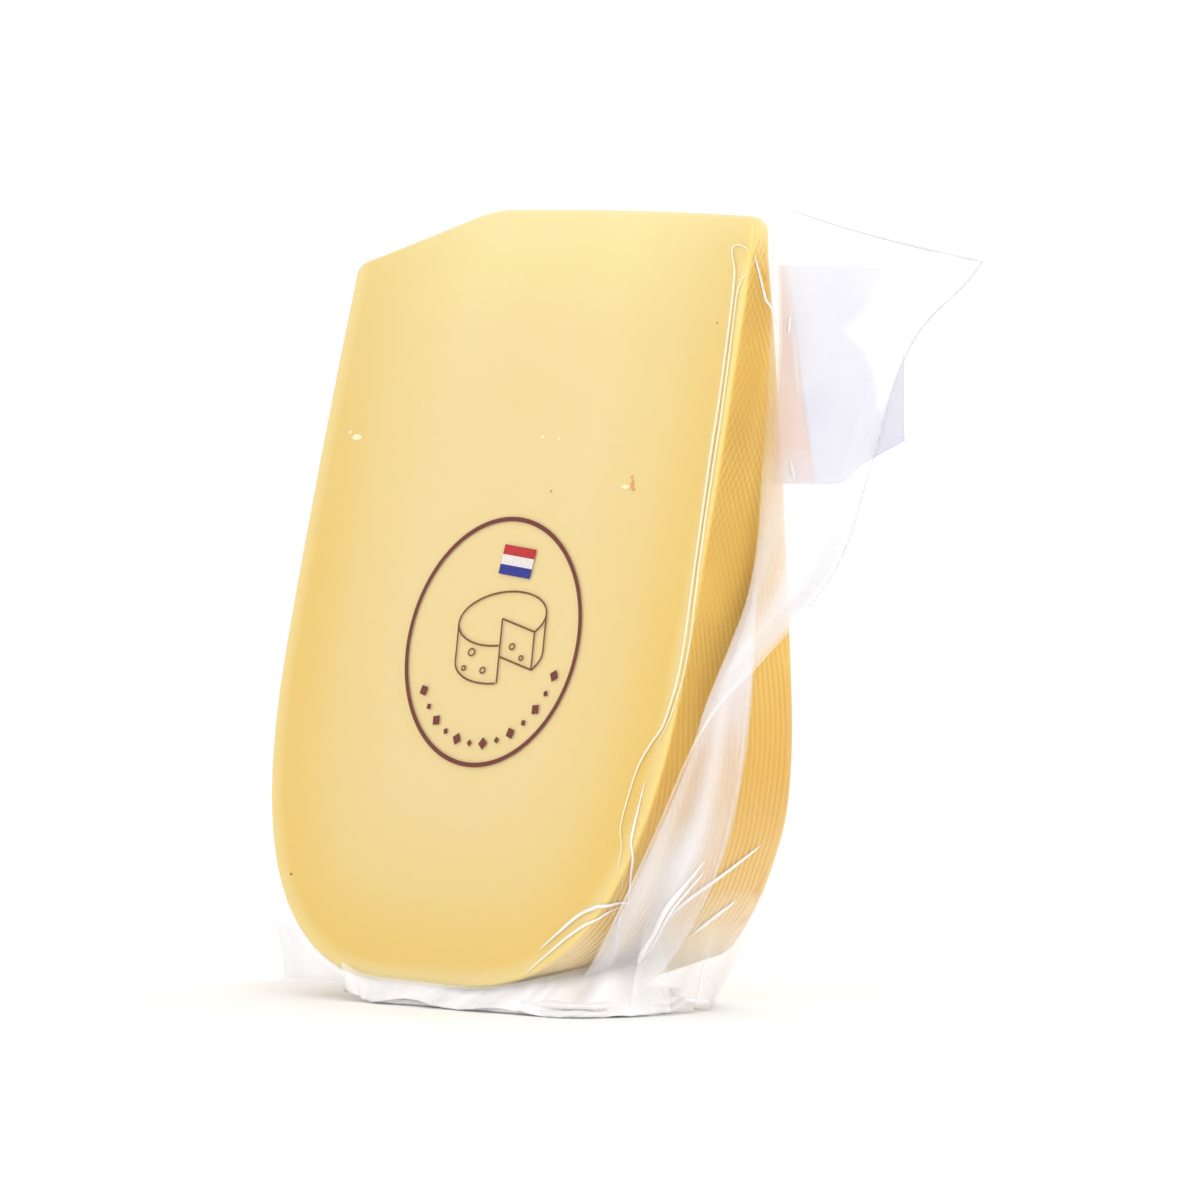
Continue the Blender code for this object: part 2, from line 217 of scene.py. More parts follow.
def face_outline(step):
    """Closed outline of the cut face as (X, s), evenly spaced, from the bottom up the +X side."""
    turns = [pi / 2 * (1 - k / 80) for k in range(80)]
    points = [shoulder(cos(turn), sin(turn)) for turn in turns]
    points += [(half_width(s), s) for s in np.linspace(WIDEST_AT, 8, 40)]
    points += arc((half_width(6), 6), np.array([TIP_HALF_WIDTH, 0.0]), (0, tip_edge(0)), TIP_CORNER)
    points += [(x, tip_edge(x)) for x in np.linspace(TIP_HALF_WIDTH - 8, CUT_KNEE_X + 3, 20)]
    points += [(x, tip_edge(x)) for x in np.linspace(CUT_KNEE_X - 3, -TIP_HALF_WIDTH + 8, 10)]
    end = tip_edge(-TIP_HALF_WIDTH)
    points += arc((CUT_KNEE_X - 10, tip_edge(CUT_KNEE_X - 10)), np.array([-half_width(end), end]),
                  (-half_width(end + 10), end + 10), TIP_CORNER)
    points += [(-half_width(s), s) for s in np.linspace(end + 8, WIDEST_AT, 40)]
    turns = [pi / 2 * k / 80 for k in range(1, 81)]
    points += [(-x, s) for x, s in (shoulder(max(cos(turn), 0), sin(turn)) for turn in turns)]
    points = np.array(points, dtype=float)
    return evenly(points, int(run_along(points)[-1] / step))


def inward(outline):
    """Inward unit normals of the closed outline."""
    tangent = unit(np.roll(outline, -1, axis=0) - np.roll(outline, 1, axis=0))
    x, s = outline.T
    side = np.sign(np.sum(x * np.roll(s, -1) - np.roll(x, -1) * s))
    return np.stack([-tangent[:, 1], tangent[:, 0]], axis=1) * side


def place(x, s, share):
    """Points at X and distance s on the plane that lies at a share of the wedge's angle."""
    lean = FRONT_LEAN + (REAR_LEAN - FRONT_LEAN) * share
    lift = HEEL_LIFT * smooth((share - 0.35) / 0.65)
    s = soft_min(s, (TIP_TO_FLAT - lift) / np.cos(lean), FLAT_SOFTNESS)
    y = TIP_Y + TIP_THICKNESS * share - s * np.sin(lean)
    return np.stack([x, y, TIP_Z - s * np.cos(lean)], axis=-1)


def wedge_grid(step, depth_count, grow):
    """Side of the wedge as an outline by depth grid of points, with what it is made from."""
    outline = face_outline(step)
    normal = inward(outline)
    s = outline[:, 1]
    thickness = TIP_THICKNESS + np.maximum(s, 0) * SPREAD
    front = np.minimum(FRONT_ROUND, ROUND_SHARE * thickness)
    heel = smooth((s - 125) / 35)
    rear = np.minimum(REAR_ROUND + (HEEL_ROUND - REAR_ROUND) * heel, ROUND_SHARE * thickness)
    rows = [(front * (1 - sin(turn)), front * (1 - cos(turn)))
            for turn in (pi / 2 * k / 5 for k in range(6))]
    rows += [(0 * front, front + (thickness - front - rear) * k / depth_count)
             for k in range(1, depth_count)]
    rows += [(rear * (1 - sin(turn)), thickness - rear * (1 - cos(turn)))
             for turn in (pi / 2 * (1 - k / 9) for k in range(10))]
    inset, depth = np.array(rows).transpose(1, 2, 0)
    x = outline[:, :1] + normal[:, :1] * inset
    down = outline[:, 1:] + normal[:, 1:] * inset
    share = depth / thickness[:, None]
    points = place(x, down, share)
    return points + grid_normals(points) * grow, outline, depth, thickness


def side_run(outline):
    """Distance of each outline point from the tip, down its own side and over the shoulder."""
    steps = np.linalg.norm(np.roll(outline, -1, axis=0) - outline, axis=1)
    total = np.concatenate([[0], np.cumsum(steps)[:-1]])
    x, s = outline.T
    right = np.flatnonzero((x > 55) & (s < 2))[0]
    left = np.flatnonzero((x < -58) & (s > 16))[0]
    return np.where(np.arange(len(x)) <= (right + left) // 2,
                    total[right] - total, total - total[left] + s[left])


def grid_normals(points):
    """Outward normals of the closed outline by depth grid."""
    along = np.roll(points, -1, axis=0) - np.roll(points, 1, axis=0)
    across = np.gradient(points, axis=1)
    normal = unit(np.cross(across, along), 1e-12)
    return normal * np.sign(np.sum(normal * (points - MIDDLE)))


def object_from(name, points, faces, material, smooth_shade=True):
    """Object from points in millimetres, with every face of a closed mesh turned outward."""
    mesh = bpy.data.meshes.new(name)
    mesh.from_pydata((np.asarray(points) * MM).tolist(), [], faces)
    mesh.validate()
    if smooth_shade:
        mesh.shade_smooth()
    bm = bmesh.new()
    bm.from_mesh(mesh)
    bmesh.ops.recalc_face_normals(bm, faces=bm.faces)
    bm.to_mesh(mesh)
    bm.free()
    mesh.materials.append(material)
    item = bpy.data.objects.new(name, mesh)
    bpy.context.collection.objects.link(item)
    return item


def band(one, two):
    """Faces between two closed rings of point numbers."""
    return list(zip(one, [*one[1:], one[0]], [*two[1:], two[0]], two))


def tube(rings, count, closed=False):
    """Faces between rings of count points in a row, with both ends filled, or joined if closed."""
    rows = [range(k * count, (k + 1) * count) for k in range(rings)]
    faces = [] if closed else [tuple(reversed(rows[0])), tuple(rows[-1])]
    for one, two in zip(rows, rows[1:] + rows[:1] if closed else rows[1:]):
        faces += band(one, two)
    return faces


def closed_wedge(name, points, rings, material):
    """Body from the side grid, with both cut faces filled by rings that shrink to a point."""
    count, rows = points.shape[:2]
    verts = list(points.reshape(-1, 3))
    columns = [range(row, count * rows, rows) for row in range(rows)]
    bands = [band(one, two) for one, two in zip(columns, columns[1:])]
    faces = [face for strip in zip(*bands) for face in strip]
    for row in (0, rows - 1):
        rim = points[:, row]
        centre = rim.mean(axis=0)
        outer = columns[row]
        cap = []
        for scale in (0.985, 0.965, 0.94, *np.linspace(0.91, 0.04, rings)):
            inner = range(len(verts), len(verts) + count)
            verts.extend(centre + (rim - centre) * scale)
            cap += [(a, b, c, d) for a, d, c, b in band(outer, inner)]
            outer = inner
        cap += [(a, len(verts), b) for a, b in zip(outer, [*outer[1:], outer[0]])]
        verts.append(centre)
        faces += [face[::-1] for face in cap] if row else cap
    verts = np.array(verts)
    return object_from(name, verts, faces, material), verts


def set_attribute(item, name, values):
    layer = item.data.attributes.new(name, "FLOAT", "POINT")
    layer.data.foreach_set("value", np.asarray(values, dtype=np.float32))


def wavy(points, scale, seed):
    """Smooth noise at each point, from -1 to 1, with features about scale millimetres wide."""
    flat = points.reshape(-1, 3) / scale + seed
    values = np.array([noise.noise(Vector(p)) for p in flat])
    return values.reshape(points.shape[:-1]) * 1.6


def rib_relief(points, outline, depth, thickness):
    """Height of the rind's ribs at each grid point, in millimetres."""
    run = side_run(outline)
    grid = np.arange(-20, 300.0)
    slope = np.interp(grid, (0, 50, 107, 145, 180, 230), (0.36, 0.36, 0.09, -0.09, -0.60, -0.75))
    shift = np.interp(run, grid, np.cumsum(slope))
    lower = smooth((run - 130) / 60)
    share = depth / thickness[:, None]
    y = points[..., 1] + 14 * lower[:, None] * (share - 0.5)
    swing = wavy(points, 30, 3.1) * 0.5 + wavy(points, 9, 7.7) * 0.16
    phase = (y - shift[:, None]) / RIB_PITCH + swing
    side = smooth((run - 1) / 5)[:, None]
    edges = smooth((depth - 0.5) / 1.6) * smooth((thickness[:, None] - depth - 0.5) / 3)
    patch = 0.72 + 0.28 * wavy(points, 14, 5.0)
    return RIB_DEPTH * np.sin(2 * pi * phase) * side * edges * patch


# Materials.

def new_material(name):
    material = bpy.data.materials.new(name)
    material.use_nodes = True
    tree = material.node_tree
    return material, tree, tree.nodes["Principled BSDF"]


def plug(tree, node, inputs):
    """Give a node's inputs, by name or number, a socket each or a plain value."""
    for key, value in inputs.items():
        if isinstance(value, bpy.types.NodeSocket):
            tree.links.new(value, node.inputs[key])
        else:
            node.inputs[key].default_value = value


def add(tree, kind, output, inputs, **settings):
    """Output of a new node with some inputs and settings."""
    node = tree.nodes.new("ShaderNode" + kind)
    for key, value in settings.items():
        setattr(node, key, value)
    plug(tree, node, inputs)
    return node.outputs[output]


def ramp(tree, stops, source):
    """Colour that follows a source through (position, colour) stops."""
    node = tree.nodes.new("ShaderNodeValToRGB")
    elements = node.color_ramp.elements
    while len(elements) < len(stops):
        elements.new(0.5)
    for element, (position, colour) in zip(elements, stops):
        element.position, element.color = position, colour
    plug(tree, node, {"Fac": source})
    return node.outputs[0]


def levels(tree, stops, source):
    """Value that follows a source through (position, level) stops."""
    return ramp(tree, [(at, (value, value, value, 1)) for at, value in stops], source)


def attribute(tree, name):
    return add(tree, "Attribute", "Fac", {}, attribute_name=name)


def texture(tree, scale, detail, roughness=0.5):
    """Noise in the piece's own coordinates."""
    coords = add(tree, "TexCoord", "Object", {})
    return add(tree, "TexNoise", "Fac", {"Vector": coords, "Scale": scale, "Detail": detail,
                                         "Roughness": roughness})


def bump(tree, height, strength, distance, **below):
    return add(tree, "Bump", "Normal", {"Height": height, "Strength": strength,
                                        "Distance": distance, **below})


def mix(tree, factor, one, two):
    """Colour mix; each input is a socket or a plain value."""
    return add(tree, "Mix", 2, {0: factor, 6: one, 7: two}, data_type="RGBA")


def math_node(tree, operation, *values):
    return add(tree, "Math", 0, dict(enumerate(values)), operation=operation)


def cheese_material():
    """Pale paste, golden near its sides and lighter towards the tip, whose top end is painted
    highlight, with a thin pale rim of painted highlight, and a deeper golden rind with painted
    shade in its rib grooves and painted light low down.
    """
    material, tree, shader = new_material("cheese_paste")
    height = add(tree, "SeparateXYZ", "Z", {0: add(tree, "TexCoord", "Object", {})})
    lift = math_node(tree, "MULTIPLY", height, 1 / WEDGE_HEIGHT)
    # Paste colour by height, lighter towards the tip; its top end is painted highlight of the light
    # from above.
    face = ramp(tree, (
        (0.00, measured(239, 213, 147)),
        (0.25, measured(240, 213, 150)),
        (0.50, measured(242, 216, 156)),
        (0.85, measured(245, 221, 158)),
        (0.94, measured(248, 229, 162)),
        (1.00, measured(251, 234, 172)),
    ), lift)
    edge = attribute(tree, "edge")
    near = levels(tree, ((0, 0.3), (0.05, 0.55), (0.13, 1), (0.30, 0.80), (0.50, 0.42), (1, 0)),
                  edge)
    fade = levels(tree, ((0, 1), (0.55, 0.95), (1, 0.45)), lift)
    colour = mix(tree, math_node(tree, "MULTIPLY", near, fade), face, measured(238, 199, 84))
    # Painted highlight: a thin pale rim along the face's edge, where the film-wrapped edge catches
    # the light.
    rim = levels(tree, ((0, 0.55), (0.05, 0.4), (0.12, 0)), edge)
    colour = mix(tree, rim, colour, measured(248, 228, 158))
    sole = levels(tree, ((0, 0.8), (0.035, 0.55), (0.06, 0)), lift)
    colour = mix(tree, sole, colour, measured(240, 220, 166))
    blotch = levels(tree, ((0.35, 0), (0.75, 0.25)), texture(tree, 26.0, 1.0, 0.55))
    colour = mix(tree, blotch, colour, measured(240, 209, 138))
    rind = ramp(tree, (
        (0.30, measured(231, 183, 56)),
        (0.55, measured(236, 192, 70)),
        (0.75, measured(241, 205, 96)),
    ), texture(tree, 45.0, 2.0, 0.6))
    deep = levels(tree, ((0.10, 0.4), (0.25, 0.9), (0.38, 0.7), (0.48, 0)), lift)
    rind = mix(tree, deep, rind, measured(220, 170, 34))
    # Painted light: the rind is made paler low down, where its underside faces the floor and lies
    # in shade.
    pale = levels(tree, ((0, 1), (0.085, 0.9), (0.11, 0.55), (0.20, 0.25), (0.30, 0)), lift)
    rind = mix(tree, pale, rind, measured(244, 221, 180))
    colour = mix(tree, attribute(tree, "rind"), colour, rind)
    # Painted shade: a darker colour in the grooves between the rind's ribs.
    colour = mix(tree, attribute(tree, "rib_shade"), colour, measured(206, 148, 44))
    plug(tree, shader, {
        "Base Color": colour,
        "Roughness": 0.45,
        "Subsurface Weight": 0.25,
        "Subsurface Radius": (1.0, 0.6, 0.25),
        "Subsurface Scale": 0.004,
        "Specular IOR Level": 0.3,
        "Normal": bump(tree, texture(tree, 260.0, 1.0), 0.04, 0.0002),
    })
    return material


def film_material(kind):
    """Clear film; its opacity runs from facing to grazing, and rises with milk and in the seal."""
    facing, grazing, tint, roughness, wrinkle, hatch, milk = FILMS[kind]
    material, tree, shader = new_material(f"film_{kind}")
    plug(tree, shader, {"Base Color": linear(*tint), "Roughness": roughness, "IOR": FILM_IOR})
    turned = add(tree, "LayerWeight", "Facing", {"Blend": 0.35})
    alpha = add(tree, "MapRange", "Result", {"Value": turned, "To Min": facing, "To Max": grazing})
    if milk:
        alpha = math_node(tree, "ADD", alpha, attribute(tree, "milk"))
    if wrinkle:
        normal = bump(tree, texture(tree, 80.0, 1.0), wrinkle, 0.0012)
        plug(tree, shader, {"Normal": normal})
    if hatch:
        flat = add(tree, "TexCoord", "UV", {})
        x, y = (add(tree, "SeparateXYZ", axis, {0: flat}) for axis in "XY")
        waves = []
        for operation in ("ADD", "SUBTRACT"):
            source = math_node(tree, operation, x, y)
            turn = math_node(tree, "MULTIPLY", source, 2 * pi / HATCH_PITCH)
            waves.append(math_node(tree, "SINE", turn))
        grid = math_node(tree, "MULTIPLY", *waves)
        half = math_node(tree, "MULTIPLY_ADD", grid, 0.5, 0.5)
        marked = math_node(tree, "MULTIPLY", half, attribute(tree, "seal"))
        alpha = math_node(tree, "MULTIPLY_ADD", marked, hatch, alpha)
        plug(tree, shader, {"Normal": bump(tree, marked, 0.5, 0.0002, Normal=normal)})
    plug(tree, shader, {"Alpha": alpha})
    return material


def ink_material(name, colour):
    material, tree, shader = new_material(name)
    lighter = tuple(min(1.0, c * 1.18 + 0.01) for c in colour[:3]) + (1.0,)
    shade = ramp(tree, ((0.35, colour), (0.70, lighter)), texture(tree, 1500.0, 3.0))
    plug(tree, shader, {"Base Color": shade, "Roughness": 0.35})
    return material


# Pieces.

def cheese_block():
    points, outline, depth, thickness = wedge_grid(1.5, 150, 0)
    relief = rib_relief(points, outline, depth, thickness)
    normals = grid_normals(points)
    low = wavy(points, 22, 1.0) * 0.12 * smooth(depth / 3)
    moved = points + normals * (relief + low - PASTE_SINK)[..., None]
    item, verts = closed_wedge("cheese_block", moved, 22, cheese_material())
    down = smooth((side_run(outline) - 4) / 8)
    rind = smooth((depth - 0.2) / 1.4) * down[:, None]
    # Painted shade mask: 1 at the bottom of a rib groove, times its strength.
    rib_shade = np.clip(-relief / RIB_DEPTH, 0, 1) * RIB_SHADE
    rest = np.zeros(len(verts) - rind.size)
    set_attribute(item, "edge", np.clip(edge_distance(verts, outline) / EDGE_REACH, 0, 1))
    set_attribute(item, "rind", np.concatenate([rind.reshape(-1), rest]))
    set_attribute(item, "rib_shade", np.concatenate([rib_shade.reshape(-1), rest]))
    return item


def edge_distance(verts, outline):
    """How far each point is from the sides of the wedge, seen square to its cut faces."""
    s = np.hypot(verts[:, 1] - TIP_Y, TIP_Z - verts[:, 2]) * np.sign(TIP_Z - verts[:, 2])
    sides = outline[outline[:, 1] > 12]
    best = np.full(len(verts), 1e9)
    for x, down in sides[::2]:
        best = np.minimum(best, (verts[:, 0] - x) ** 2 + (s - down) ** 2)
    return np.sqrt(best)


def film_skin(film):
    points, _, depth, _ = wedge_grid(2.2, 60, FILM_GAP)
    normals = grid_normals(points)
    crumple = wavy(points, 12, 11.0) * 0.07 * smooth(depth / 4)
    return closed_wedge("film_skin", points + normals * crumple[..., None], 16, film)[0]


def catmull(points, count):
    """Smooth curve through points, with count samples."""
    points = np.array(points, dtype=float)
    ends = np.concatenate([[2 * points[0] - points[1]], points, [2 * points[-1] - points[-2]]])
    at = np.linspace(0, len(points) - 1, count)
    index = np.minimum(at.astype(int), len(points) - 2)
    t = (at - index)[:, None]
    a, b, c, d = (ends[index + k] for k in range(4))
    return 0.5 * (2 * b + (c - a) * t + (2 * a - 5 * b + 4 * c - d) * t ** 2
                  + (3 * b - a - 3 * c + d) * t ** 3)


def tree_of(*items):
    """Search tree over the surfaces of some pieces, in millimetres."""
    verts, faces = [], []
    for item in items:
        start = len(verts)
        verts += [v.co / MM for v in item.data.vertices]
        faces += [[start + i for i in p.vertices] for p in item.data.polygons]
    return BVHTree.FromPolygons(verts, faces)


def snap(tree, path, lift):
    """Path laid on a surface, lift above it, with the surface's normals; with no tree it stays."""
    spots, normals = [], []
    for spot in path:
        place_on, normal = Vector(spot), Vector((sin(AZIMUTH), -cos(AZIMUTH), 0))
        if tree:
            place_on, normal, _, _ = tree.find_nearest(place_on)
        spots.append(np.array(place_on) + np.array(normal) * lift)
        normals.append(np.array(normal))
    return np.array(spots), np.array(normals)


def crease(name, tree, path, width, height, film, count, seed=0.0):
    """Slim raised fold of film along a path on a surface, tapered at both ends."""
    centre, normal = snap(tree, catmull(path, count), 0.03)
    for _ in range(4):
        normal[1:-1] = normal[:-2] + normal[1:-1] * 2 + normal[2:]
        normal = unit(normal)
        centre[1:-1] = (centre[:-2] + centre[1:-1] * 2 + centre[2:]) / 4
    side = np.cross(unit(np.gradient(centre, axis=0)), normal)
    share = np.linspace(0, 1, count)
    taper = np.sqrt(np.clip(np.sin(pi * share), 0, 1)) * 0.97 + 0.03
    uneven = 1 + 0.25 * np.array([noise.noise(Vector((s * 7 + seed, seed, 0.3))) for s in share])
    half = width / 2 * taper * uneven
    rise = height * taper * uneven
    section = ((-1, -0.1), (-0.75, 0.45), (-0.4, 0.85), (0, 1), (0.4, 0.85), (0.75, 0.45),
               (1, -0.1))
    verts = [centre[k] + side[k] * half[k] * across + normal[k] * rise[k] * up
             for k in range(count) for across, up in section]
    return object_from(name, verts, tube(count, len(section)), film)


def tail_outline(count):
    """Footprint of the folded tail: a rectangle without two of its corners, rounded."""
    corners = [np.array(c, dtype=float) for c in
               ((-16, -26), (52.5, -26), (52.5, 3), (30, 27), (-49.5, 27), (-49.5, -6))]
    points = []
    for index, corner in enumerate(corners):
        points += arc(corners[index - 1], corner, corners[(index + 1) % len(corners)], 7.0)
    return evenly(np.array(points + points[:1]), count)


def tail_layer(name, low, high, shrink, seed, film):
    """One crumpled fold of the tail: a low closed pad of film between two heights."""
    count, rings = 300, 16
    outline = tail_outline(count)
    centre = outline.mean(axis=0)

    def ripple(radius, level):
        turn = 2 * pi * np.linspace(0, 1, count, endpoint=False)
        return np.array([noise.noise(Vector((radius * cos(a), radius * sin(a), level)))
                         for a in turn])

    reach = (1 - shrink) + 0.030 * (ripple(40 / 3, seed) + ripple(3, seed + 9))
    layers = [(scale, 0.0) for scale in np.linspace(0.05, 0.9, rings - 4)]
    layers += [(0.96, 0.0), (1.0, 0.18), (1.012, 0.45), (1.0, 0.78), (0.975, 1.0)]
    layers += [(scale, 1.0) for scale in np.linspace(0.93, 0.05, rings)]
    verts = []
    for scale, height in layers:
        for x, y in centre + (outline - centre) * reach[:, None] * scale:
            z = low + (high - low) * height
            if height > 0.9:
                lump = noise.noise(Vector((x / 7, y / 5, seed)))
                lump += 0.6 * noise.noise(Vector((x / 2.6, y / 9, seed + 3)))
                z -= (high - low) * 0.42 * min(1.0, max(0.0, 0.5 + lump))
            verts.append((x, y, z))
    return object_from(name, verts, tube(len(layers), count), film)


def sheet_normals(grid, least=0.0):
    return unit(np.cross(np.gradient(grid, axis=1), np.gradient(grid, axis=0)), least)


def curtain(name, tree, top, bottom, columns, rows, folds, seed, film, body):
    """Loose film that leaves the cheese along top and falls in folds to bottom."""
    upper, normal = snap(tree, catmull(top, columns), 0.3)
    lower = catmull(bottom, columns)
    share = np.linspace(0, 1, rows)[:, None]
    grid = (upper * (1 - share[..., None]) + lower * share[..., None]
            + normal * (0.6 * np.sin(pi * share))[..., None])
    offset = np.zeros((rows, columns))
    for r in range(rows):
        for c in range(columns):
            drift = c / columns * folds + 0.04 * r
            offset[r, c] = noise.noise(Vector((drift, seed, r * 0.05))) + 0.35 * noise.noise(
                Vector((drift * 2.3, seed + 4, r * 0.1)))
    grid = grid + sheet_normals(grid, 1e-9) * (offset * 1.3 * smooth(share * 1.3))[..., None]
    grid[..., 2] = np.maximum(grid[..., 2], 0.15)
    along = np.linspace(0, 1, columns)[None, :]
    ends = smooth(along / 0.06) * smooth((1 - along) / 0.16)
    milk = (smooth(share * 1.1 - 0.1) * (0.16 + 0.10 * offset)
            + body * ends * smooth(share / 0.4) * (1 + 0.5 * offset))
    return sheet_object(name, grid, film, milk=milk)


def sheet_object(name, grid, film, uv=None, **values):
    """Closed thin sheet of film round a grid of points; values are attributes of its points."""
    raised = sheet_normals(grid, 1e-12) * SHEET / 2
    verts = np.concatenate([(grid + raised).reshape(-1, 3), (grid - raised).reshape(-1, 3)])
    rows, columns = grid.shape[:2]
    half = rows * columns
    at = np.arange(half).reshape(rows, columns)
    cells = np.stack([at[:-1, :-1], at[1:, :-1], at[1:, 1:], at[:-1, 1:]], axis=-1).reshape(-1, 4)
    rim = np.concatenate([at[0, :-1], at[:-1, -1], at[-1, :0:-1], at[:0:-1, 0]])
    faces = np.stack([cells, cells[:, [0, 3, 2, 1]] + half], axis=1).reshape(-1, 4).tolist()
    faces += band(rim.tolist(), (rim + half).tolist())
    item = object_from(name, verts, faces, film)
    if uv is not None:
        flat = np.concatenate([uv.reshape(-1, 2)] * 2)
        layer = item.data.uv_layers.new(name="flat")
        index = np.zeros(len(item.data.loops), dtype=np.int32)
        item.data.loops.foreach_get("vertex_index", index)
        layer.data.foreach_set("uv", flat[index].astype(np.float32).ravel())
    for key, value in values.items():
        set_attribute(item, key, np.concatenate([value.reshape(-1)] * 2))
    return item


def seal_band(from_edge):
    """1 in the hatched seal, at distances from the film's free edge, and 0 elsewhere."""
    return smooth((from_edge - SEAL_FROM) / 0.4) * (1 - smooth((from_edge - SEAL_TO) / 0.6))


# The right-hand fin: distance down the side, then fold and free edge as (out, forward).
RIGHT_FIN = (
    (-3, (20.0, -2.0), (64.0, -4.5)),
    (20, (14.0, -1.0), (46.0, -1.5)),
    (53, (7.5, 0.5), (37.0, 0.0)),
    (77, (6.0, 3.2), (33.0, 5.6)),
    (95, (5.5, 8.8), (26.0, 17.0)),
    (109, (4.8, 10.8), (15.0, 22.5)),
    (127, (3.0, 10.6), (8.5, 24.5)),
    (151, (2.2, 11.2), (5.4, 26.0)),
    (170, (2.0, 9.0), (3.6, 20.0)),
    (186, (2.0, 6.5), (2.8, 13.5)),
)
FOLD_AT = 0.36


def hermite(table, column, at):
    """Smooth curve through one column of a table of stations."""
    keys = np.array([row[0] for row in table], dtype=float)
    values = np.array([row[column] for row in table], dtype=float)
    slopes = np.empty_like(values)
    slopes[1:-1] = (values[2:] - values[:-2]) / (keys[2:] - keys[:-2])[:, None]
    slopes[0] = (values[1] - values[0]) / (keys[1] - keys[0])
    slopes[-1] = (values[-1] - values[-2]) / (keys[-1] - keys[-2])
    index = np.clip(np.searchsorted(keys, at, side="right") - 1, 0, len(keys) - 2)
    span = keys[index + 1] - keys[index]
    t = ((at - keys[index]) / span)[:, None]
    span = span[:, None]
    return (values[index] * (1 + 2 * t) * (1 - t) ** 2 + slopes[index] * span * t * (1 - t) ** 2
            + values[index + 1] * t ** 2 * (3 - 2 * t)
            + slopes[index + 1] * span * t ** 2 * (t - 1))


def side_path(at):
    """Point and outward normal in (X, s) at distances down the middle of the +X side."""
    s = np.linspace(-5, WIDEST_AT, 200)
    turn = np.linspace(0, pi / 2 - 0.01, 400)[1:]
    path = np.concatenate([np.stack([half_width(s), s], axis=1),
                           np.stack(shoulder(np.cos(turn), np.sin(turn)), axis=1)])
    run = run_along(path) - 5
    ahead = read_off(unit(np.gradient(path, axis=0)), run, at)
    return read_off(path, run, at), np.stack([ahead[:, 1], -ahead[:, 0]], axis=1)


def middle(x, s, forward):
    """Points on the wedge's middle plane, moved towards the front by forward."""
    y = TIP_Y + TIP_THICKNESS / 2 - s * sin(MIDDLE_LEAN) - forward * cos(MIDDLE_LEAN)
    z = TIP_Z - s * cos(MIDDLE_LEAN) + forward * sin(MIDDLE_LEAN)
    return np.stack([x, y, z], axis=-1)


def right_fin_grid(rows, columns):
    at = np.linspace(-3, 186, rows)
    fold, edge = hermite(RIGHT_FIN, 1, at), hermite(RIGHT_FIN, 2, at)
    point, outward = side_path(at)
    ending = smooth((at - 150) / 30)
    root = np.stack([0.6 + 1.2 * ending, np.full(rows, -2.5)], axis=1)
    across = np.linspace(0, 1, columns)
    at_root = (across - FOLD_AT) * (across - 1) / FOLD_AT
    at_fold = across * (across - 1) / (FOLD_AT * (FOLD_AT - 1))
    at_edge = across * (across - FOLD_AT) / (1 - FOLD_AT)
    flat = (root[:, None] * at_root[:, None] + fold[:, None] * at_fold[:, None]
            + edge[:, None] * at_edge[:, None])
    fall = 12.0 * (1 - smooth((at + 3) / 60)) + 3.3 * (1 - smooth((at + 3) / 22))
    x = point[:, 0][:, None] + outward[:, 0][:, None] * flat[..., 0]
    s = point[:, 1][:, None] + outward[:, 1][:, None] * flat[..., 0]
    s = np.minimum(s + fall[:, None] * across[None, :], TIP_TO_FLAT / cos(MIDDLE_LEAN) + 3)
    grid = middle(x, s, flat[..., 1])
    width = np.linalg.norm(np.diff(grid, axis=1), axis=2)
    from_root = np.concatenate([np.zeros((rows, 1)), np.cumsum(width, axis=1)], axis=1)
    from_edge = from_root[:, -1:] - from_root
    uv = np.stack([from_edge, np.repeat(at[:, None], columns, axis=1)], axis=-1)
    return grid, uv, from_edge, across


def right_fin(film):
    grid, uv, from_edge, across = right_fin_grid(190, 56)
    free = smooth(across / 0.12)[None, :]
    at = uv[..., 1]
    seal = seal_band(from_edge) * smooth(across / 0.2)[None, :]
    wide = np.repeat(across[None] * 2.6, len(at), axis=0)
    # Painted highlight: soft white streaks along the fin raise and vary its milk.
    highlight_streak = wavy(np.stack([at / 26, wide, 0 * at], axis=-1), 1, 5.0)
    milk = np.interp(at, (0, 50, 64, 78, 92, 104, 116, 150, 164, 186),
                     (0.01, 0.03, 0.18, 0.32, 0.32, 0.14, 0.04, 0.04, 0.12, 0.24))
    milk = milk * (1 + 0.8 * highlight_streak) + 0.10 * np.clip(highlight_streak, 0, 1) * smooth((at - 95) / 20)
    # Painted highlight: a whiter band where the fin's film turns back.
    turn = np.exp(-((across - 0.30) / 0.10) ** 2)[None, :]
    milk = milk + 0.16 * turn * smooth((at - 92) / 14)
    wave = (wavy(grid, 30, 2.0) * 0.9 + wavy(grid, 12, 4.0) * 0.12) * smooth((at + 5) / 20)
    puff = np.sin(pi * np.clip(across, 0, 1))[None, :] * smooth(from_edge / 10)
    made = []
    for name, sign, seed in (("fin_right_front", 1, 21.0), ("fin_right_back", -1, 43.0)):
        own = wavy(grid, 20, seed) * 0.22 * smooth(from_edge / 9) * smooth((at + 5) / 20)
        offset = (wave + own) * free * 0.8 + sign * (0.12 + 0.6 * puff)
        made.append(sheet_object(name, grid + sheet_normals(grid) * offset[..., None], film, uv,
                                 seal=seal, milk=np.clip(milk, 0, 1)))
    return made, grid


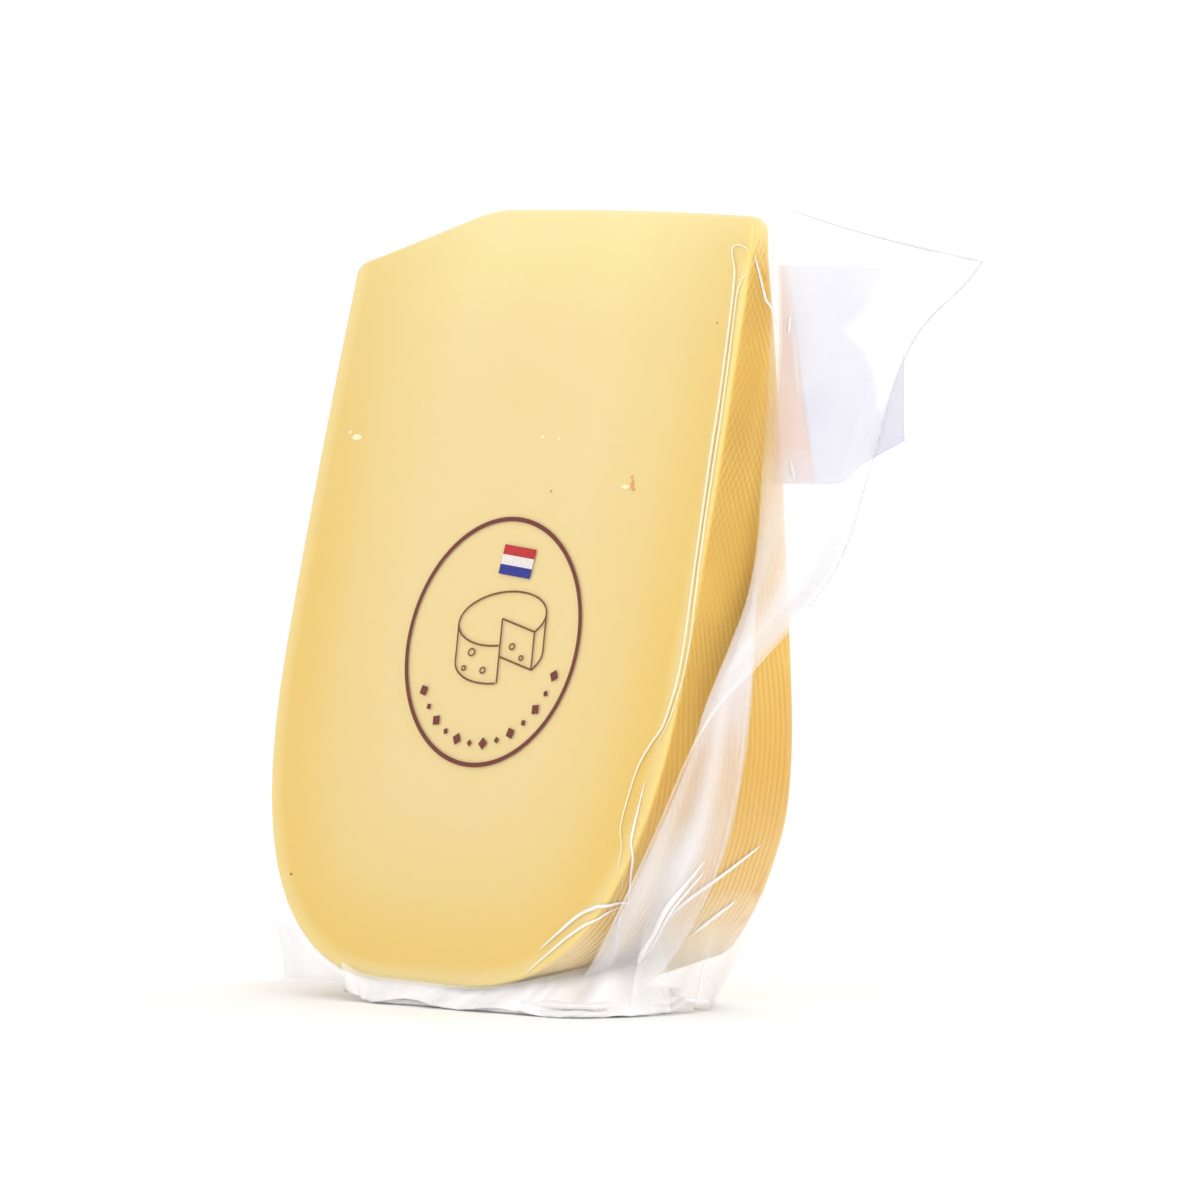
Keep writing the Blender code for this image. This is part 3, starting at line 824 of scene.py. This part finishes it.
def left_fin(film):
    bottom = (TIP_Z - 1) / cos(MIDDLE_LEAN)
    rows, columns = 120, 14
    share = np.linspace(0, 1, rows)
    s = 12 + (bottom - 12) * share
    inside = np.maximum(half_width(s), 42) + 0.5
    outside = HALF_WIDTH + 17.5 * smooth(0.12 + share * 1.35)
    outside += (77.5 - outside) * smooth((share - 0.86) / 0.14)
    across = np.linspace(0, 1, columns)
    x = inside[:, None] + (outside - inside)[:, None] * across[None]
    wave = 1.4 * np.sin(2 * pi * 1.5 * share)[:, None] * across[None]
    down = np.repeat(s[:, None], columns, axis=1)
    grid = middle(-x, down, wave)
    grid[..., 1] += wavy(grid, 16, 6.0) * 0.6 * across[None]
    from_edge = (outside - inside)[:, None] * (1 - across)[None]
    uv = np.stack([from_edge, down], axis=-1)
    milk = 0.05 * smooth((np.repeat(share[:, None], columns, axis=1) - 0.75) / 0.2)
    made = []
    for name, sign in (("fin_left_front", 1), ("fin_left_back", -1)):
        shifted = grid.copy()
        shifted[..., 1] += sign * (0.12 + 0.4 * np.sin(pi * across))[None]
        made.append(sheet_object(name, shifted, film, uv, seal=seal_band(from_edge), milk=milk))
    return made


def flap(name, curves, rows, columns, shift, film):
    """Smooth sheet of film through three curves that run side by side, clearer in one patch."""
    top, mid, low = (catmull(curve, columns) for curve in curves)
    t = np.linspace(0, 1, rows)[:, None, None]
    grid = top * (2 * t - 1) * (t - 1) + mid * 4 * t * (1 - t) + low * t * (2 * t - 1)
    grid = grid + np.array(shift)
    grid[..., 1] += wavy(grid, 20, 9.0) * 0.5
    u, v = np.linspace(0, 1, columns)[None, :], t[..., 0]
    left = 0.56 + 0.85 * np.abs(v - 0.37)
    right = 1.05 - 0.55 * np.maximum(v - 0.30, 0)
    clear = smooth(0.6 + np.minimum(u - left, right - u) / 0.14 + 0.45 * wavy(grid, 9, 7.0))
    milk = np.clip(0.08 + 0.20 * v + 0.05 * wavy(grid, 14, 4.0) - 0.26 * clear, 0, 1)
    return sheet_object(name, grid, film, milk=milk)


def free_hem(grid, tree, film, low_film):
    """Slim line of the cut edge of the film, along the fin's top and down its free edge; grey above
    as painted reflection, white lower down as painted highlight.
    """
    path = np.concatenate([grid[0, 4::8][:-1], grid[:84:8, -1]])
    return [crease("fin_right_hem", tree, path, 0.45, 0.12, film, 320),
            crease("fin_right_hem_low", None, grid[84:172:6, -1], 0.5, 0.15, low_film, 160)]


def fold_line(grid, film):
    """Pale line of painted highlight where the fin's film turns back, low down beside the rind."""
    across = grid[..., 0] * cos(AZIMUTH) + grid[..., 1] * sin(AZIMUTH)
    rows = range(84, 158, 6)
    path = [grid[row, int(np.argmax(across[row, :30]))] for row in rows]
    return crease("film_turn", None, path, 1.3, 0.3, film, 160)


def tip_web(film):
    """Low web of film that stands on the tip and leads into the right-hand fin."""
    x = np.linspace(44, 65.5, 40)
    top = -np.interp(x, (44, 49, 58, 65.5), (0.4, 2.2, 2.9, 3.2))
    share = np.linspace(0, 1, 6)[:, None]
    grid = middle(np.repeat(x[None], 6, axis=0), 1.6 + (top[None] - 1.6) * share, 0.4 * share)
    return sheet_object("fin_tip_web", grid, film)


def face_point(x, s, lift):
    """Point lift millimetres in front of the front cut face."""
    return (x, TIP_Y - s * sin(FRONT_LEAN) - lift * cos(FRONT_LEAN),
            TIP_Z - s * cos(FRONT_LEAN) + lift * sin(FRONT_LEAN))


RING_X = 3.7
RING_S = 96.0
RING_RADIUS = 27.56
PRINT_LIFT = 0.34
PRINT_LOW = 0.28
PRINT_TILT = radians(-6.4)


def print_point(u, v, lift=PRINT_LIFT):
    """Point of the print, with u and v from the ring's centre, v upward, turned a little."""
    x = RING_X + u * cos(PRINT_TILT) + v * sin(PRINT_TILT)
    s = RING_S - (v * cos(PRINT_TILT) - u * sin(PRINT_TILT))
    return face_point(x, s, lift)


def ink_line(name, path, width, ink, closed=False):
    """Flat closed ribbon of ink along a path of (u, v) points."""
    path = np.array(path, dtype=float)
    if closed:
        tangent = np.roll(path, -1, axis=0) - np.roll(path, 1, axis=0)
    else:
        tangent = np.gradient(path, axis=0)
    tangent = unit(tangent)
    normal = np.stack([-tangent[:, 1], tangent[:, 0]], axis=1) * width / 2
    verts = []
    for one, two in zip(path + normal, path - normal):
        verts += [print_point(*one), print_point(*two)]
        verts += [print_point(*spot, lift=PRINT_LOW) for spot in (two, one)]
    return object_from(name, verts, tube(len(path), 4, closed), ink, smooth_shade=False)


def ink_shape(name, corners, ink, at=print_point, top=PRINT_LIFT, low=PRINT_LOW):
    """Flat filled shape of ink with corners in (u, v), between two heights over the face."""
    verts = [at(*corner, lift=lift) for lift in (top, low) for corner in corners]
    return object_from(name, verts, tube(2, len(corners)), ink, smooth_shade=False)


def ellipse(cx, cy, rx, ry, start, end, count):
    return [(cx + rx * cos(a), cy + ry * sin(a)) for a in np.linspace(start, end, count)]


def print_pieces():
    """A brown ring with a cut wheel of cheese, three small stripes and a row of lozenges."""
    brown = ink_material("ink_brown", linear(98, 28, 6))
    olive = ink_material("ink_olive", linear(102, 62, 14))
    made = [ink_line("print_ring", ellipse(0, 0, RING_RADIUS, RING_RADIUS, 0, 2 * pi, 161)[:-1],
                     1.0, brown, closed=True)]
    cx, cy, rx, ry, tall = 2.5, 5.0, 14.0, 6.0, 8.5
    first, last = radians(-92), radians(-40)
    near = (cx, cy - ry)
    far = (cx + rx * cos(last), cy + ry * sin(last))
    strokes = [
        ellipse(cx, cy, rx, ry, last, 2 * pi + first, 70),
        [(cx, cy), near, (near[0], near[1] - tall)],
        [(cx, cy), far],
        [far, (far[0], far[1] - tall)],
        [(cx, cy - tall), (far[0], far[1] - tall)],
        [(cx - rx, cy), (cx - rx, cy - tall)],
        [(cx + rx, cy), (cx + rx, cy - tall)],
        ellipse(cx, cy - tall, rx, ry, -pi, first, 40),
        ellipse(cx, cy - tall, rx, ry, last, 0, 20),
    ]
    for k, stroke in enumerate(strokes):
        middle_point = tuple(np.mean(stroke, axis=0))
        points = stroke if len(stroke) > 2 else [stroke[0], middle_point, stroke[1]]
        made.append(ink_line(f"print_wheel_{k}", points, 0.42, olive))
    holes = ((-6.5, -1.8, 1.0), (-2.4, -6.2, 0.8), (-8.6, -5.2, 0.6), (6.4, -1.6, 0.8),
             (9.6, -4.4, 0.6))
    for k, (x, y, r) in enumerate(holes):
        rim = ellipse(x, y, r, r * 0.8, 0, 2 * pi, 17)[:-1]
        made.append(ink_line(f"print_hole_{k}", rim, 0.36, olive, True))
    colours = (("red", (172, 8, 10)), ("white", (214, 206, 204)), ("blue", (8, 16, 124)))
    slope = radians(-12)
    for k, (name, colour) in enumerate(colours):
        ink = ink_material(f"ink_{name}", linear(*colour))
        corners = []
        for u, v in ((-5.2, 3.3), (5.2, 3.3), (5.2, 1.1), (-5.2, 1.1)):
            v -= 2.2 * k
            corners.append((5.5 + u * cos(slope) - v * sin(slope),
                            17.6 + u * sin(slope) + v * cos(slope)))
        made.append(ink_shape(f"print_stripe_{k}", corners, ink))
    for k in range(13):
        angle = radians(204 + 11 * k)
        x, y = 22.8 * cos(angle), 22.8 * sin(angle)
        size = 1.4 if k % 2 == 0 else 0.8
        corners = ellipse(x, y, size, size, angle, angle + 1.5 * pi, 4)
        made.append(ink_shape(f"print_lozenge_{k}", corners, brown))
    return made


def face_marks():
    """The few small holes, specks and pale dents of the front cut face, as flat spots: the holes
    are painted shade, the dents painted highlight.
    """
    orange = ink_material("mark_orange", linear(206, 140, 44))
    dark = ink_material("mark_dark", linear(112, 84, 46))
    pale = ink_material("mark_pale", measured(252, 236, 196))
    made = []
    # Orange spots stand for holes as painted shade, pale spots for dents as painted highlight, and
    # the dark spot is a speck.
    for k, (x, s, wide, tall, ink) in enumerate((
            (39.4, 59.7, 0.45, 1.0, orange), (39.9, 60.9, 0.5, 0.4, orange),
            (38.9, 58.2, 0.3, 0.35, orange), (37.4, 60.4, 1.3, 0.5, pale),
            (-49.6, 150.4, 0.28, 0.28, dark), (13.7, 61.9, 0.3, 0.35, orange),
            (57.4, 23.6, 0.25, 0.25, orange), (-53.5, 50.9, 1.6, 0.7, pale),
            (-56.0, 49.8, 0.5, 0.4, pale), (8.0, 49.8, 0.5, 0.4, pale),
            (13.5, 50.1, 0.4, 0.3, pale))):
        corners = [(x + wide * (1 + 0.2 * sin(3 * a + k)) * cos(a), s + tall * sin(a))
                   for a in np.linspace(0, 2 * pi, 15)[:-1]]
        made.append(ink_shape(f"mark_{k}", corners, ink, face_point, 0.06, -0.30))
    return made


def film_folds(tree, film, welt):
    """Raised folds of film: the double welt on the front edge, and those at the heel and fin; their
    whiter, more opaque film is painted highlight.
    """
    low_edge = [(64.7, -6.4, 82.5), (64.5, -8.9, 72.4), (62.7, -11.0, 63.6), (59.9, -12.0, 59.6),
                (57.1, -13.2, 54.6), (55.7, -14.6, 48.8), (54.8, -16.4, 41.3), (56.4, -17.6, 36.2),
                (55.1, -17.0, 27.3)]
    paths = {
        "welt_face": ([(63.4, 13.4, 164.8), (62.7, 13.4, 166.1), (60.4, 13.5, 166.8),
            (58.6, 13.4, 166.3), (58.8, 13.0, 164.4), (60.0, 12.5, 162.2), (60.6, 11.9, 159.9),
            (61.2, 10.7, 154.9), (62.0, 7.9, 143.0), (62.6, 5.2, 131.8), (62.8, 3.0, 122.6),
            (63.3, 0.5, 111.8), (63.9, -2.7, 98.5)] + low_edge, 0.85, 0.26, 260),
        "welt_side": ([(63.7, 12.8, 161.4), (63.4, 12.2, 160.1), (62.6, 11.4, 157.9),
            (62.4, 10.7, 154.9), (63.3, 7.9, 143.0), (63.9, 5.3, 131.9), (64.2, 3.0, 122.6),
            (64.5, 0.5, 111.9), (64.9, -2.5, 98.6), (65.4, -5.9, 82.5), (65.2, -8.4, 72.4),
            (64.0, -10.8, 64.1), (61.6, -12.1, 59.3)], 0.55, 0.22, 200),
        "low_side": ([(60.0, -13.9, 51.7), (59.0, -16.4, 41.0), (58.2, -16.5, 33.4),
            (53.5, -13.5, 23.7)], 0.6, 0.3, 60),
        "pucker_a": ([(54.4, -12.7, 25.1), (53.8, -17.2, 25.1), (51.6, -20.4, 24.2),
            (46.7, -20.9, 22.3), (41.3, -21.8, 18.4), (35.9, -22.8, 14.2)], 1.0, 0.35, 60),
        "pucker_b": ([(53.7, -15.0, 24.5), (52.2, -18.6, 22.9), (48.7, -21.2, 20.2),
            (43.3, -22.2, 16.8), (37.9, -23.1, 12.8), (32.3, -23.9, 8.7)], 0.7, 0.3, 60),
        "pucker_c": ([(53.3, -14.7, 23.8), (50.7, -13.5, 20.0), (47.0, -10.6, 15.3),
            (43.4, -7.9, 11.7)], 0.9, 0.35, 40),
        "slant": ([(51.6, -1.9, 19.5), (54.0, 0.3, 22.8), (56.0, 3.8, 26.0), (58.8, 12.2, 31.6),
            (60.6, 19.7, 36.6)], 1.0, 0.4, 50),
        "streak_a": ([(50.1, 8.4, 16.7), (53.0, 12.3, 20.4), (55.4, 16.9, 24.3)], 1.4, 0.25, 30),
        "ridge_a": ([(63.8, 14.5, 164.4), (64.1, 16.6, 157.7), (65.9, 17.9, 152.3),
            (69.1, 16.9, 148.4)], 0.7, 0.25, 40),
        "ridge_b": ([(72.6, 16.9, 151.9), (72.6, 16.3, 147.2)], 1.3, 0.3, 20),
        "ridge_c": ([(78.1, 11.6, 121.0), (80.8, 10.6, 116.3)], 1.3, 0.3, 20),
        "broad": ([(62.3, 2.1, 33.3), (60.3, -2.3, 27.5), (57.8, -5.0, 22.5), (53.9, -4.9, 17.1),
            (49.0, -4.8, 11.9), (41.6, -0.9, 6.1)], 1.6, 0.8, 60),
        "beside": ([(63.0, 3.4, 30.5), (60.9, -0.6, 25.2), (58.2, -3.0, 20.6), (54.2, -3.2, 15.4),
            (50.0, -3.4, 10.2)], 0.7, 0.5, 60),
    }
    return [crease(f"film_{name}", tree, path, width, height, welt if "welt" in name else film,
                   count, float(seed))
            for seed, (name, (path, width, height, count)) in enumerate(paths.items())]


def stage_and_light():
    """Pale floor under a white sky, soft light from above and both sides, and the camera."""
    right = Vector((cos(AZIMUTH), sin(AZIMUTH), 0))
    back = Vector((sin(AZIMUTH) * cos(ELEVATION), -cos(AZIMUTH) * cos(ELEVATION), sin(ELEVATION)))
    up = back.cross(right)
    material, tree, shader = new_material("studio_white")
    plug(tree, shader, {"Base Color": (0.96, 0.96, 0.96, 1), "Roughness": 0.7,
                        "Specular IOR Level": 0.0})
    corners = np.array([(-1, -1, 0), (1, -1, 0), (1, 1, 0), (-1, 1, 0)]) * FLOOR_REACH
    object_from("studio_floor", corners, [(0, 1, 2, 3)], material)

    world = bpy.data.worlds.new("studio")
    world.use_nodes = True
    shade = world.node_tree.nodes["Background"]
    shade.inputs["Color"].default_value = (1, 1, 1, 1)
    shade.inputs["Strength"].default_value = 1.03
    bpy.context.scene.world = world

    def panel(name, spot, size, power):
        light = bpy.data.lights.new(name, "AREA")
        light.shape = "RECTANGLE"
        light.size, light.size_y = size
        light.energy = power
        lamp = bpy.data.objects.new(name, light)
        bpy.context.collection.objects.link(lamp)
        lamp.location = Vector(spot)
        lamp.rotation_mode = "QUATERNION"
        lamp.rotation_quaternion = (Vector((0, 0, 0.09)) - lamp.location).to_track_quat("-Z", "Y")

    panel("key", right * -0.9 + back * 1.3 + Vector((0, 0, 1.1)), (0.8, 0.8), 2.0)
    panel("side", right * 1.4 + back * 0.5 + Vector((0, 0, 0.35)), (0.3, 0.6), 2.0)
    panel("top", right * 0.2 + back * -0.6 + Vector((0, 0, 1.5)), (1.0, 0.4), 3.0)
    panel("fill", right * 0.4 + back * 1.5 + Vector((0, 0, 0.08)), (1.2, 0.15), 6.5)

    camera = bpy.data.objects.new("camera", bpy.data.cameras.new("camera"))
    bpy.context.collection.objects.link(camera)
    camera.data.sensor_width = SENSOR_WIDTH
    camera.data.lens = SENSOR_WIDTH * DISTANCE / VIEW_WIDTH
    camera.data.clip_start, camera.data.clip_end = 0.1, 50.0
    camera.rotation_mode = "QUATERNION"
    camera.location = Vector(AIM) * MM + back * DISTANCE * MM
    camera.rotation_quaternion = Matrix((right, up, back)).transposed().to_quaternion()
    bpy.context.scene.camera = camera


def main():
    bpy.context.scene.view_settings.view_transform = "Standard"
    bpy.context.scene.cycles.transparent_max_bounces = FILM_LAYERS
    stage_and_light()

    def attach(pieces, node):
        for piece in pieces:
            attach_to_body(piece, "root")
            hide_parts(node)

    attach([cheese_block()] + face_marks(), "cheese_wedge")

    film = {kind: film_material(kind) for kind in FILMS}
    skin = film_skin(film["tight"])
    attach([skin], "cheese_wedge")
    fins, fin_grid = right_fin(film["loose"])
    # Second layer of film on the fin, tinted lilac grey by painted reflection.
    doubled_flap = flap("fin_right_flap", (
        [(66.5, 18.0, 162.3), (74.5, 18.1, 162.3), (87.2, 17.9, 162.1), (97.6, 18.2, 162.0),
         (106.3, 18.7, 161.8)],
        [(67.6, 17.2, 146.2), (77.3, 15.4, 144.2), (90.1, 15.0, 143.3), (99.2, 15.3, 142.7),
         (107.3, 15.7, 142.4)],
        [(72.0, 11.2, 115.3), (80.1, 10.6, 115.4), (92.9, 10.9, 116.0), (98.7, 12.1, 119.9),
         (110.2, 13.5, 125.2)],
    ), 50, 50, (0, 1.6, 0), film["doubled_painted_reflection"])
    # Gusset of film beside the cheese, peach with painted reflection of the cheese.
    gusset = flap("fin_right_gusset", (
        [(66.5, 18.0, 162.3), (68.0, 18.0, 162.3), (69.6, 18.0, 162.2)],
        [(67.6, 17.2, 146.2), (72.0, 16.3, 145.0), (75.5, 15.6, 144.4)],
        [(72.0, 11.2, 115.3), (79.0, 10.7, 115.5), (85.5, 10.7, 116.0)],
    ), 50, 20, (0, 0.8, 0), film["warm_painted_reflection"])
    left_flap = flap("fin_left_flap", (
        [(-82.5, 4.0, 13.3), (-74.0, 4.0, 11.5), (-64.0, 4.0, 8.0), (-54.0, 4.0, 3.5)],
        [(-81.5, 3.6, 6.5), (-72.5, 3.6, 6.0), (-63.0, 3.6, 4.2), (-53.5, 3.6, 2.0)],
        [(-78.5, 3.4, 0.4), (-70.0, 3.4, 0.4), (-62.0, 3.4, 0.4), (-53.0, 3.4, 0.4)],
    ), 20, 50, (0, -1.0, 0), film["skirt"])
    tree = tree_of(skin)
    heel = curtain("heel_film", tree,
                   [(55.5, -9, 24), (55.8, 3, 24), (56.6, 15, 27), (50, 28.5, 24), (20, 30.2, 17),
                    (-20, 30.4, 16), (-45, 29.8, 20)],
                   [(52, -12, 0.6), (54, 3, 0.6), (48, 16, 0.6), (34, 28.0, 0.6), (10, 29, 0.6),
                    (-25, 29, 0.6), (-49, 28, 0.6)],
                   220, 18, 16, 5.0, film["draped"], 0.06)
    skirt = curtain("tail_skirt", tree,
                    [(-27, -24.4, 8.5), (-18, -24.9, 6.2), (0, -25.0, 5.6), (18, -25.0, 5.4),
                     (32, -23.6, 7.2), (40, -17, 8.5), (46, -8, 10.5), (50, 2, 13)],
                    [(-24, -25.8, 2.2), (-15, -26.6, 0.5), (-3, -26.7, 1.6), (12, -26.8, 0.3),
                     (28, -26.4, 1.3), (42, -25.0, 0.3), (53, -15.0, 0.5), (55, -2, 0.5)],
                    240, 14, 15, 12.0, film["skirt"], 0.45)
    outer_fins = tree_of(skin, *fins)
    loose = fins + [doubled_flap, gusset, left_flap, tip_web(film["tight"]),
                    fold_line(fin_grid, film["halo"])]
    loose += free_hem(fin_grid, outer_fins, film["hem"], film["halo"]) + left_fin(film["loose"])
    loose += film_folds(outer_fins, film["fold"], film["welt"])
    loose += [tail_layer("tail_lower", 0.1, 1.9, 0.02, 3.0, film["crumpled"]),
              tail_layer("tail_upper", 1.75, 3.5, 0.05, 8.0, film["crumpled"]), heel, skirt]
    attach(loose + print_pieces(), "vacuum_bag")


main()
bpy.context.view_layer.update()
